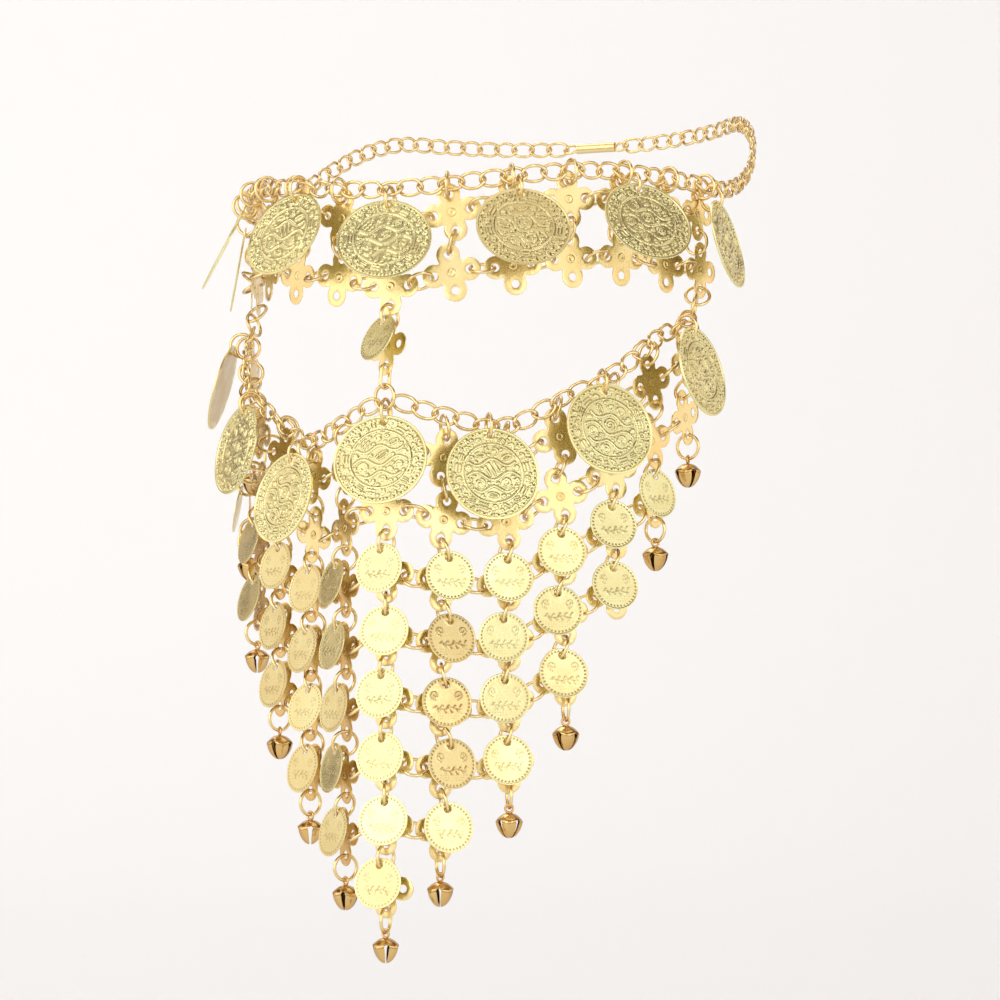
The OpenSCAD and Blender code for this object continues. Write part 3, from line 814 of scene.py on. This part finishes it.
def cut_bell():
    """Points and triangles of the bell's body, hollow and slotted."""
    body = petalled("shell", BELL_OUTER, 48)
    tools = [petalled("hollow", BELL_INNER, 24), slot_cutter("slot_x", True), slot_cutter("slot_y", False),
             eye_cutter("eyes_x", True), eye_cutter("eyes_y", False)]
    for tool in tools:
        cut = body.modifiers.new(tool.name, "BOOLEAN")
        cut.operation, cut.solver, cut.object = "DIFFERENCE", "EXACT", tool
    bpy.context.view_layer.update()
    made = bpy.data.meshes.new_from_object(body.evaluated_get(bpy.context.evaluated_depsgraph_get()))
    made.calc_loop_triangles()
    points = np.array([tuple(v.co) for v in made.vertices])
    triangles = np.array([tuple(t.vertices) for t in made.loop_triangles])
    for used in [body] + tools:
        mesh = used.data
        bpy.data.objects.remove(used)
        bpy.data.meshes.remove(mesh)
    bpy.data.meshes.remove(made)
    return points, triangles


def bell_wear_and_shade(points):
    """The value of wear and shade over the bell's body: painted shade inside and along the seam below the
    cap.
    """
    away, z = np.hypot(points[:, 0], points[:, 1]), points[:, 2]
    shell = np.interp(z, [row[1] for row in BELL_OUTER[::-1]], [row[0] for row in BELL_OUTER[::-1]])
    outside = away >= 0.8 * shell
    corner = np.cos(2 * np.arctan2(points[:, 1], points[:, 0])) ** 2
    seam = np.abs(z - SEAM_Z - 0.5 * corner) < 0.12
    return np.where(outside, np.where(seam, 0.3, 0.85), 0.12)


def bell_shape():
    """A jingle bell: a domed cap over four petals that taper to the foot, keyhole slots and a loop on top.
    The slots are turned 45 degrees from the loop."""
    points, triangles = cut_bell()
    right, out, eighth = points[:, 0], -points[:, 1], math.sqrt(0.5)
    body = np.column_stack([eighth * (right + out), points[:, 2] - LOOP_R - BELL_R + LOOP_SUNK,
                            eighth * (out - right)])
    loop = tube(np.column_stack([ring_points(LOOP_R, 28), np.zeros(28)]), LOOP_WIRE / 2, 10)
    return joined([Shape(body, triangles, bell_wear_and_shade(points)), loop])


# Chain

CHAINS = ("head_chain_front", "head_chain_left", "head_chain_right", "lower_chain_left", "lower_chain_right")

# Nodes whose rings go through a chain's links
HOOKED = ("coin_rings", "band_drop_rings", "veil_drop_rings", "temple_rings", "nose_ring")

# How flat a link may be laid, tried in turn, and how far its middle line stays from the next wire's
FLATNESSES = (1.0, 0.85, 0.7, 0.55, 0.4, 0.25, 0.0)
LEAST_APART = 1.04
CLASP_GAP = 0.05
LINE_POINTS = 72


def main_axes(points):
    """Middle of a solid and its axes from the thinnest to the longest."""
    middle = (points.min(0) + points.max(0)) / 2
    return middle, np.linalg.eigh(np.cov((points - middle).T))[1].T


def ring_line(points):
    """The middle line of a jump ring's wire, in millimetres."""
    middle, (_, u, v) = main_axes(points)
    r = np.abs((points - middle) @ v).max() / MM - WIRE_R
    turn = np.arange(LINE_POINTS) * 2 * math.pi / LINE_POINTS
    return middle / MM + r * (np.cos(turn)[:, None] * u + np.sin(turn)[:, None] * v)


def link_line(place, tilt, flatness):
    """The middle line of a link's wire: its ends stay tilted and its sides lie down as it gets flatter."""
    turn = np.arange(LINE_POINTS) * 2 * math.pi / LINE_POINTS
    x = LINK_REACH * np.sign(np.cos(turn)) * np.abs(np.cos(turn)) ** 0.9
    side = LINK_HALF * np.sin(turn)
    angle = tilt * (1 - flatness * np.abs(np.sin(turn)) ** 1.5)
    local = np.column_stack([x, side * np.cos(angle), side * np.sin(angle)])
    return local @ place[:, :3].T + place[:, 3] / MM


def apart(line, others):
    """The least distance between a line's points and any of the others."""
    near = others[np.linalg.norm(others - line.mean(0), axis=1) < 12]
    if len(near) == 0:
        return 99.0
    return np.linalg.norm(line[:, None, :] - near[None, :, :], axis=2).min()


def link_place(points):
    """Where a link lies: along the chain, upwards in the chain's flat side, and outwards; and its tilt."""
    middle, (normal, _, along) = main_axes(points)
    outward = np.array([middle[0], middle[1], 0.0])
    outward -= (outward @ along) * along
    outward /= np.linalg.norm(outward)
    upward = np.cross(outward, along)
    tilt = math.remainder(math.atan2(-(normal @ upward), normal @ outward), math.pi)
    return placed_frame(middle, along, upward, outward), tilt


def curb_chains():
    """Every chain as twisted links, each laid as flat as the rings on it and its neighbours allow."""
    rings = np.concatenate([ring_line(part) for name in HOOKED for part in loose_parts(name)])
    clasp = loose_parts("clasp")[0] / MM
    links = [(name, *link_place(part)) for name in CHAINS for part in loose_parts(name)]
    lines = [link_line(place, tilt, 0.0) for _, place, tilt in links]
    found = {name: [] for name in CHAINS}
    for n, (name, place, tilt) in enumerate(links):
        others = np.concatenate([lines[m] for m in range(len(links)) if m != n
                                 and np.linalg.norm(links[m][1][:, 3] - place[:, 3]) < 14 * MM] + [rings])
        for flatness in FLATNESSES:
            line = link_line(place, tilt, flatness)
            if apart(line, others) > LEAST_APART and apart(line, clasp) > WIRE_R + CLASP_GAP:
                break
        lines[n] = line
        found[name].append(tube(line[::2], WIRE_R, 10))
    return found


# Materials

# The painted warm reflection: the colour that stands for what the metal mirrors on its shaded side
PAINTED_WARM_REFLECTION = (0.55, 0.27, 0.07)


def metal(name, base, shade, rim, recess, grazing_shade_share, rough, bump, grain):
    """A polished plated metal: two colours in patches, painted shade in recesses, a painted warm reflection,
    a deeper colour painted as shade where it turns away from the eye, uneven roughness, fine scratches and
    dents."""
    made = bpy.data.materials.new(name)
    made.use_nodes = True
    tree = made.node_tree
    tree.nodes.clear()
    add = tree.nodes.new
    link = tree.links.new
    out = add("ShaderNodeOutputMaterial")
    bsdf = add("ShaderNodeBsdfPrincipled")
    link(bsdf.outputs["BSDF"], out.inputs["Surface"])
    bsdf.inputs["Metallic"].default_value = 1.0
    place = add("ShaderNodeTexCoord").outputs["Object"]

    def noise(vector, scale, detail, rough_value=0.5):
        found = add("ShaderNodeTexNoise")
        found.inputs["Scale"].default_value = scale
        found.inputs["Detail"].default_value = detail
        found.inputs["Roughness"].default_value = rough_value
        link(vector, found.inputs["Vector"])
        return found.outputs["Fac"]

    def span(source, low, high, to_low, to_high):
        found = add("ShaderNodeMapRange")
        for label, value in (("From Min", low), ("From Max", high), ("To Min", to_low), ("To Max", to_high)):
            found.inputs[label].default_value = value
        link(source, found.inputs["Value"])
        return found.outputs["Result"]

    def mixed(factor, first, second):
        found = add("ShaderNodeMix")
        found.data_type = "RGBA"
        link(factor, found.inputs["Factor"])
        for label, value in (("A", first), ("B", second)):
            socket = [s for s in found.inputs if s.name == label and s.type == "RGBA"][0]
            if isinstance(value, tuple):
                socket.default_value = (*value, 1)
            else:
                link(value, socket)
        return [s for s in found.outputs if s.type == "RGBA"][0]

    def attribute(label):
        found = add("ShaderNodeAttribute")
        found.attribute_name = label
        return found.outputs["Fac"]

    def product(a, b):
        found = add("ShaderNodeMath")
        found.operation = "MULTIPLY"
        link(a, found.inputs[0])
        link(b, found.inputs[1])
        return found.outputs[0]

    def bumped(height, strength, distance):
        found = add("ShaderNodeBump")
        found.inputs["Strength"].default_value = strength
        found.inputs["Distance"].default_value = distance
        link(height, found.inputs["Height"])
        return found

    patch = noise(place, 90.0, 3.0)
    colour = mixed(span(patch, 0.38, 0.66, 0.0, 1.0), base, shade)
    # Painted shade in recesses, then the painted warm reflection
    if recess is not None:
        colour = mixed(span(attribute("worn"), 0.0, 0.9, 1.0, 0.0), colour, recess)
        colour = mixed(attribute("tone"), colour, PAINTED_WARM_REFLECTION)
    # A deeper colour painted as shade where the surface turns away from the eye
    facing = add("ShaderNodeLayerWeight")
    facing.inputs["Blend"].default_value = 0.5
    colour = mixed(span(facing.outputs["Facing"], 0.15, 0.95, 0.0, grazing_shade_share), colour, rim)
    link(colour, bsdf.inputs["Base Color"])

    fine = noise(place, 2600.0, 2.0)
    link(product(span(patch, 0.3, 0.7, rough * 0.8, rough * 1.25), span(fine, 0.3, 0.7, 0.85, 1.2)),
         bsdf.inputs["Roughness"])

    stretch = add("ShaderNodeMapping")
    stretch.inputs["Scale"].default_value = (1.0, 1.0, 9.0)
    stretch.inputs["Rotation"].default_value = (0.5, 0.9, 0.3)
    link(place, stretch.inputs["Vector"])
    dents = bumped(noise(place, grain, 3.0, 0.6), 1.0, bump)
    scratches = bumped(noise(stretch.outputs["Vector"], 900.0, 2.0), 0.5, 0.02 * MM)
    link(dents.outputs["Normal"], scratches.inputs["Normal"])
    link(scratches.outputs["Normal"], bsdf.inputs["Normal"])
    return made


SHEET_GILT = metal("stamped_gilt", base=(0.94, 0.80, 0.42), shade=(0.93, 0.75, 0.35), rim=(0.70, 0.38, 0.10),
                   recess=(0.40, 0.25, 0.07), grazing_shade_share=0.45, rough=0.24, bump=0.10 * MM, grain=260.0)
COIN_GILT = metal("coin_gilt", base=(0.90, 0.90, 0.51), shade=(0.90, 0.86, 0.46), rim=(0.74, 0.46, 0.15),
                  recess=(0.15, 0.10, 0.03), grazing_shade_share=0.35, rough=0.27, bump=0.04 * MM, grain=420.0)
WIRE_GILT = metal("rose_gilt_wire", base=(0.95, 0.80, 0.43), shade=(0.93, 0.74, 0.36),
                  rim=(0.42, 0.21, 0.06), recess=None, grazing_shade_share=0.95, rough=0.18, bump=0.02 * MM,
                  grain=700.0)
BELL_GILT = metal("antique_gilt", base=(0.86, 0.62, 0.26), shade=(0.78, 0.52, 0.19), rim=(0.36, 0.15, 0.04),
                  recess=(0.16, 0.08, 0.02), grazing_shade_share=0.8, rough=0.2, bump=0.03 * MM, grain=500.0)


# Pieces

CROSSES = [cross_plate(seed) for seed in (3, 8, 21, 34)]
LARGE_COINS = [large_coin(seed, depth) for seed, depth in ((5, 0.26), (12, 0.22), (27, 0.24), (40, 0.26))]
SMALL_COINS = [small_coin(seed, depth, foot_shade) for seed, depth, foot_shade in
               ((2, 0.07, 0.5), (9, 0.08, 0.6), (16, 0.1, 0.7), (31, 0.09, 0.55))]
# A small coin with deeper relief and more painted shade at the foot of its strokes
DARK_COIN = small_coin(44, 0.14, 0.95)
BELL = bell_shape()

# Shares of painted warm reflection on the large coins that look warm in the photo, and on all the others
LARGE_PAINTED_REFLECTIONS = {"band_coin_5": 0.2, "band_coin_1": 0.2, "veil_coin_1": 0.3}
LARGE_PAINTED_REFLECTION = 0.02

# Azimuths in degrees: past the first the veil is in shade and gets more painted warm reflection, and between
# the others its column is dark, with more painted shade and painted warm reflection
SHADE_FROM = -4
DARK_COLUMN = (4, 16)
DARK_ROWS = ("4", "5", "6")
DARK_PAINTED_REFLECTION = 0.34
SHADED_ROWS = ("3", "4", "5", "6", "7", "8")

look = random.Random(71)


def azimuth(place):
    """Degrees round from the front, positive on the wearer's left."""
    return math.degrees(math.atan2(place[0, 3], -place[1, 3]))


def chance_painted_reflection(middle, spread, most):
    """A share of painted warm reflection that varies by chance within limits."""
    return min(max(0.0, look.gauss(middle, spread)), most)


def show_crosses(name):
    """The cross plates of a row."""
    made = []
    for part in loose_parts(name):
        place = cross_frame(part)
        # Crosses of the shaded rows get more painted warm reflection
        shaded = azimuth(place) < SHADE_FROM and name[-1] in SHADED_ROWS
        tone = chance_painted_reflection(0.45 if shaded else 0.03, 0.05, 0.6)
        made.append(put(look.choice(CROSSES), place, tone))
    piece(name + "_stamped", made, SHEET_GILT, [name])


def show_large_coin(name):
    """One large coin. The kinds take turns along the band and along the veil."""
    step = 3 if name.startswith("band") else 1
    kind = 1 if name == "band_coin_5" else (int(name[-1]) * step + 2) % 4
    # Each large coin gets its share of painted warm reflection
    made = put(LARGE_COINS[kind], coin_frame(loose_parts(name)[0]), LARGE_PAINTED_REFLECTIONS.get(name, LARGE_PAINTED_REFLECTION))
    piece(name + "_struck", [made], COIN_GILT, [name])


def show_small_coins(name):
    """The small coins of a row."""
    made = []
    for part in loose_parts(name):
        place = coin_frame(part)
        turn = azimuth(place)
        # Coins in shade get more painted warm reflection; those of the dark column get a larger share and
        # more painted shade at the foot of each stroke
        tone = chance_painted_reflection(0.2 if turn < SHADE_FROM else 0.04, 0.06, DARK_PAINTED_REFLECTION)
        shape = look.choice(SMALL_COINS)
        if name[-1] in DARK_ROWS and DARK_COLUMN[0] < turn < DARK_COLUMN[1]:
            shape, tone = DARK_COIN, DARK_PAINTED_REFLECTION
        made.append(put(shape, place, tone))
    piece(name + "_struck", made, COIN_GILT, [name])


def show_bell(name):
    """One bell."""
    # A small share of painted warm reflection, by chance
    made = put(BELL, bell_frame(loose_parts(name)[0]), chance_painted_reflection(0.05, 0.06, 1.0))
    piece(name + "_cast", [made], BELL_GILT, [name], smooth=40)


def show_wire(name):
    """Rings, the oval link or the clasp: the CAD solids themselves."""
    nodes[name].data.materials.clear()
    nodes[name].data.materials.append(WIRE_GILT)


for name, links in curb_chains().items():
    made = [put(link, UNMOVED, 0.0) for link in links]
    piece(name + "_curb", made, WIRE_GILT, [name], smooth=60)

for name in sorted(nodes):
    if name in CHAINS:
        continue
    if "crosses" in name or name == "nose_cross":
        show_crosses(name)
    elif name.startswith(("band_coin_", "veil_coin_")):
        show_large_coin(name)
    elif "small_coins" in name or name == "nose_coin":
        show_small_coins(name)
    elif name.startswith("bell_") and name != "bell_rings":
        show_bell(name)
    else:
        show_wire(name)


# Stage

# The floor and backdrop, in metres, with depth measured away from the camera
AZIMUTH = math.radians(20)
FLOOR_Z = -0.30
FLOOR_FRONT = -1.6
BEND_AT = 0.9
BEND_R = 0.7
BACKDROP_TOP = 2.2
BACKDROP_HALF = 1.5
PAPER = (0.89, 0.92, 0.96)

MIDDLE = (0.0, 0.0, -0.09)
WARM_WHITE = (1.0, 0.97, 0.92)
COOL_WHITE = (0.85, 0.93, 1.0)
ROOM = (0.22, 0.13, 0.07)
ROOM_STRENGTH = 0.8


def matte(name, colour, rough):
    """A plain rough material."""
    made = bpy.data.materials.new(name)
    made.use_nodes = True
    bsdf = made.node_tree.nodes["Principled BSDF"]
    bsdf.inputs["Base Color"].default_value = (*colour, 1)
    bsdf.inputs["Roughness"].default_value = rough
    return made


def sweep():
    """A pale floor that curves up into a backdrop behind the veil."""
    profile = [(FLOOR_FRONT, FLOOR_Z), (BEND_AT, FLOOR_Z)]
    profile += [(BEND_AT + BEND_R * math.sin(a), FLOOR_Z + BEND_R * (1 - math.cos(a)))
                for a in np.linspace(0, math.pi / 2, 17)[1:]]
    profile.append((BEND_AT + BEND_R, BACKDROP_TOP))
    points = []
    for depth, z in profile:
        for side in (-BACKDROP_HALF, BACKDROP_HALF):
            points.append((side * math.cos(AZIMUTH) - depth * math.sin(AZIMUTH),
                           side * math.sin(AZIMUTH) + depth * math.cos(AZIMUTH), z))
    faces = [(2 * n, 2 * n + 1, 2 * n + 3, 2 * n + 2) for n in range(len(profile) - 1)]
    made = mesh_object("backdrop", points, faces)
    made.data.shade_smooth()
    made.data.materials.append(matte("paper", PAPER, 0.9))


def softbox(name, place, aim, width, height, radiance, colour=WARM_WHITE):
    """A rectangular light that faces a point. Its power follows from the radiance that it shows."""
    light = bpy.data.lights.new(name, "AREA")
    light.shape = "RECTANGLE"
    light.size, light.size_y = width, height
    light.energy = radiance * math.pi * width * height
    light.color = colour
    made = bpy.data.objects.new(name, light)
    made.location = place
    made.rotation_mode = "QUATERNION"
    made.rotation_quaternion = (Vector(aim) - Vector(place)).to_track_quat("-Z", "Y")
    made.visible_camera = False
    bpy.context.scene.collection.objects.link(made)


sweep()
softbox("key", (-0.9, -1.8, 0.7), MIDDLE, 2.4, 2.6, 1.2)
softbox("front", (0.75, -2.1, 0.1), MIDDLE, 3.4, 2.8, 0.88)
softbox("right", (2.0, -0.7, 0.2), MIDDLE, 2.2, 2.4, 1.05)
softbox("right_back", (1.9, 1.3, 0.2), MIDDLE, 2.0, 2.0, 1.0)
softbox("left", (-2.0, -0.6, 0.2), MIDDLE, 2.2, 2.4, 1.05)
softbox("top", (0.0, 0.1, 2.0), MIDDLE, 2.4, 2.2, 1.0)
softbox("backdrop_light", (-1.0, 0.9, 1.9), (-0.5, 1.5, -0.1), 1.6, 1.0, 2.2, COOL_WHITE)

world = bpy.data.worlds.new("room")
world.use_nodes = True
world.node_tree.nodes["Background"].inputs["Color"].default_value = (*ROOM, 1)
world.node_tree.nodes["Background"].inputs["Strength"].default_value = ROOM_STRENGTH
bpy.context.scene.world = world
bpy.context.scene.view_settings.view_transform = "Standard"


# Camera

# Pixels of the photo: its side, the focal length, and the origin's place above and right of its middle
PHOTO_SIDE = 1000
FOCAL_LENGTH = 3050
ORIGIN_ABOVE = 268
ORIGIN_RIGHT = 3

SENSOR = 36.0
ELEVATION = math.radians(-8)
DISTANCE = 1.0

camera = bpy.data.cameras.new("camera")
camera.sensor_width = SENSOR
camera.lens = FOCAL_LENGTH / PHOTO_SIDE * SENSOR
camera.clip_start, camera.clip_end = 0.05, 20
view = bpy.data.objects.new("camera", camera)
bpy.context.scene.collection.objects.link(view)
view.location = (DISTANCE * math.sin(AZIMUTH) * math.cos(ELEVATION),
                 -DISTANCE * math.cos(AZIMUTH) * math.cos(ELEVATION),
                 DISTANCE * math.sin(ELEVATION))
pitch = -ELEVATION - math.atan(ORIGIN_ABOVE / FOCAL_LENGTH)
view.rotation_euler = (math.pi / 2 + pitch, 0, AZIMUTH + math.atan(ORIGIN_RIGHT / FOCAL_LENGTH))
bpy.context.scene.camera = view
